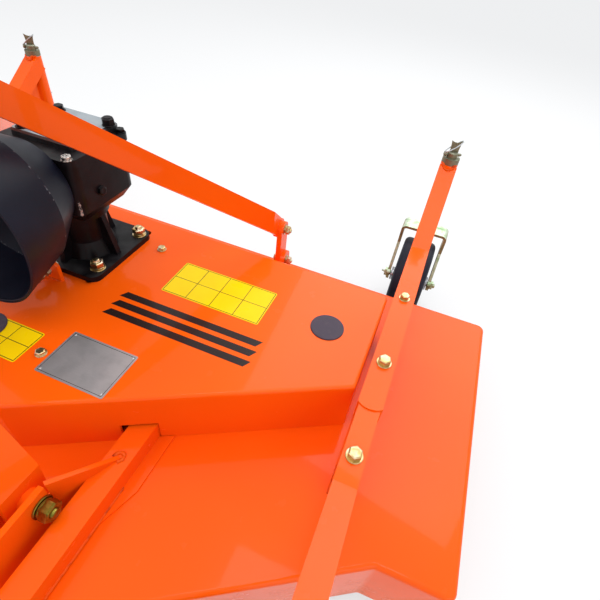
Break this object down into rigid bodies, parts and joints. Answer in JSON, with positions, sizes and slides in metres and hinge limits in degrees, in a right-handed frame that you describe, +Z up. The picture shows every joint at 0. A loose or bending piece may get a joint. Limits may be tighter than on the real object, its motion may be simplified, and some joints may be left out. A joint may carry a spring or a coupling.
{
  "type": "finishing mower",
  "caption": "Rear-discharge finishing mower for a three-point linkage, with belt-driven blades under a folded deck and caster wheels on arms.",
  "frame": {"origin": "on the ground, in the middle of the machine's box", "axes": "+X to the machine's right, -Y to its front and the tractor, +Z up"},
  "size_m": [1.87, 1.584, 0.812],
  "materials": {
    "orange_paint": "gloss",
    "gearbox_black": "gloss black paint",
    "shield_plastic": "satin",
    "cap_plastic": "matte",
    "yellow_zinc": "yellow zinc plate",
    "rim_steel": "satin grey",
    "bare_steel": "oiled steel",
    "tyre": "rubber",
    "flap_rubber": "matte"
  },
  "bodies": {
    "root": {"deck_shell": "orange_paint", "rear_flap": "flap_rubber", "belt_housing": "orange_paint", "spindle_caps": "cap_plastic", "gearbox_pedestal": "gearbox_black", "gearbox_body": "gearbox_black", "gearbox_cover": "gearbox_black", "input_shield": "shield_plastic", "tension_bolt": "yellow_zinc", "tension_tab": "orange_paint", "mast_head": "orange_paint", "hitch_rail_left": "orange_paint", "mast_leg_left": "orange_paint", "brace_left": "orange_paint", "brace_link_left": "orange_paint", "brace_lug_left": "orange_paint", "front_arm_left": "orange_paint", "rear_arm_left": "orange_paint", "arm_stands_left": "orange_paint", "hitch_rail_right": "orange_paint", "mast_leg_right": "orange_paint", "brace_right": "orange_paint", "brace_link_right": "orange_paint", "brace_lug_right": "orange_paint", "front_arm_right": "orange_paint", "rear_arm_right": "orange_paint", "arm_stands_right": "orange_paint", "spindle_housing_left": "gearbox_black", "spindle_housing_centre": "gearbox_black", "spindle_housing_right": "gearbox_black"},
    "input_shaft": {"input_shaft": "bare_steel"},
    "blade_rotor_left": {"spindle_left": "bare_steel", "blade_left": "bare_steel"},
    "blade_rotor_centre": {"spindle_centre": "bare_steel", "blade_centre": "bare_steel"},
    "blade_rotor_right": {"spindle_right": "bare_steel", "blade_right": "bare_steel"},
    "caster_front_left": {"caster_fork_front_left": "yellow_zinc"},
    "wheel_front_left": {"wheel_rim_front_left": "rim_steel", "tyre_front_left": "tyre"},
    "caster_front_right": {"caster_fork_front_right": "yellow_zinc"},
    "wheel_front_right": {"wheel_rim_front_right": "rim_steel", "tyre_front_right": "tyre"},
    "caster_rear_left": {"caster_fork_rear_left": "yellow_zinc"},
    "wheel_rear_left": {"wheel_rim_rear_left": "rim_steel", "tyre_rear_left": "tyre"},
    "caster_rear_right": {"caster_fork_rear_right": "yellow_zinc"},
    "wheel_rear_right": {"wheel_rim_rear_right": "rim_steel", "tyre_rear_right": "tyre"}
  },
  "joints": [
    {"name": "input_spin", "type": "hinge", "parent": "root", "child": "input_shaft", "pos_m": [0, -0.02, 0.549], "axis": [0, 1, 0], "continuous": true},
    {"name": "blade_spin_left", "type": "hinge", "parent": "root", "child": "blade_rotor_left", "pos_m": [-0.581, 0.13, 0.112], "axis": [0, 0, 1], "continuous": true},
    {"name": "blade_spin_centre", "type": "hinge", "parent": "root", "child": "blade_rotor_centre", "pos_m": [0, -0.16, 0.112], "axis": [0, 0, 1], "continuous": true},
    {"name": "blade_spin_right", "type": "hinge", "parent": "root", "child": "blade_rotor_right", "pos_m": [0.581, 0.13, 0.112], "axis": [0, 0, 1], "continuous": true},
    {"name": "caster_swivel_front_left", "type": "hinge", "parent": "root", "child": "caster_front_left", "pos_m": [-0.712, -0.6, 0.4], "axis": [0, 0, 1], "continuous": true},
    {"name": "wheel_spin_front_left", "type": "hinge", "parent": "caster_front_left", "child": "wheel_front_left", "pos_m": [-0.712, -0.665, 0.127], "axis": [1, 0, 0], "continuous": true},
    {"name": "caster_swivel_front_right", "type": "hinge", "parent": "root", "child": "caster_front_right", "pos_m": [0.712, -0.6, 0.4], "axis": [0, 0, 1], "continuous": true},
    {"name": "wheel_spin_front_right", "type": "hinge", "parent": "caster_front_right", "child": "wheel_front_right", "pos_m": [0.712, -0.665, 0.127], "axis": [1, 0, 0], "continuous": true},
    {"name": "caster_swivel_rear_left", "type": "hinge", "parent": "root", "child": "caster_rear_left", "pos_m": [-0.712, 0.73, 0.4], "axis": [0, 0, 1], "continuous": true},
    {"name": "wheel_spin_rear_left", "type": "hinge", "parent": "caster_rear_left", "child": "wheel_rear_left", "pos_m": [-0.712, 0.665, 0.127], "axis": [1, 0, 0], "continuous": true},
    {"name": "caster_swivel_rear_right", "type": "hinge", "parent": "root", "child": "caster_rear_right", "pos_m": [0.712, 0.73, 0.4], "axis": [0, 0, 1], "continuous": true},
    {"name": "wheel_spin_rear_right", "type": "hinge", "parent": "caster_rear_right", "child": "wheel_rear_right", "pos_m": [0.712, 0.665, 0.127], "axis": [1, 0, 0], "continuous": true}
  ],
  "couplings": [
    {"joint": "blade_spin_left", "follows": "blade_spin_centre", "ratio": 1},
    {"joint": "blade_spin_right", "follows": "blade_spin_centre", "ratio": 1},
    {"joint": "input_spin", "follows": "blade_spin_centre", "ratio": 0.2}
  ]
}
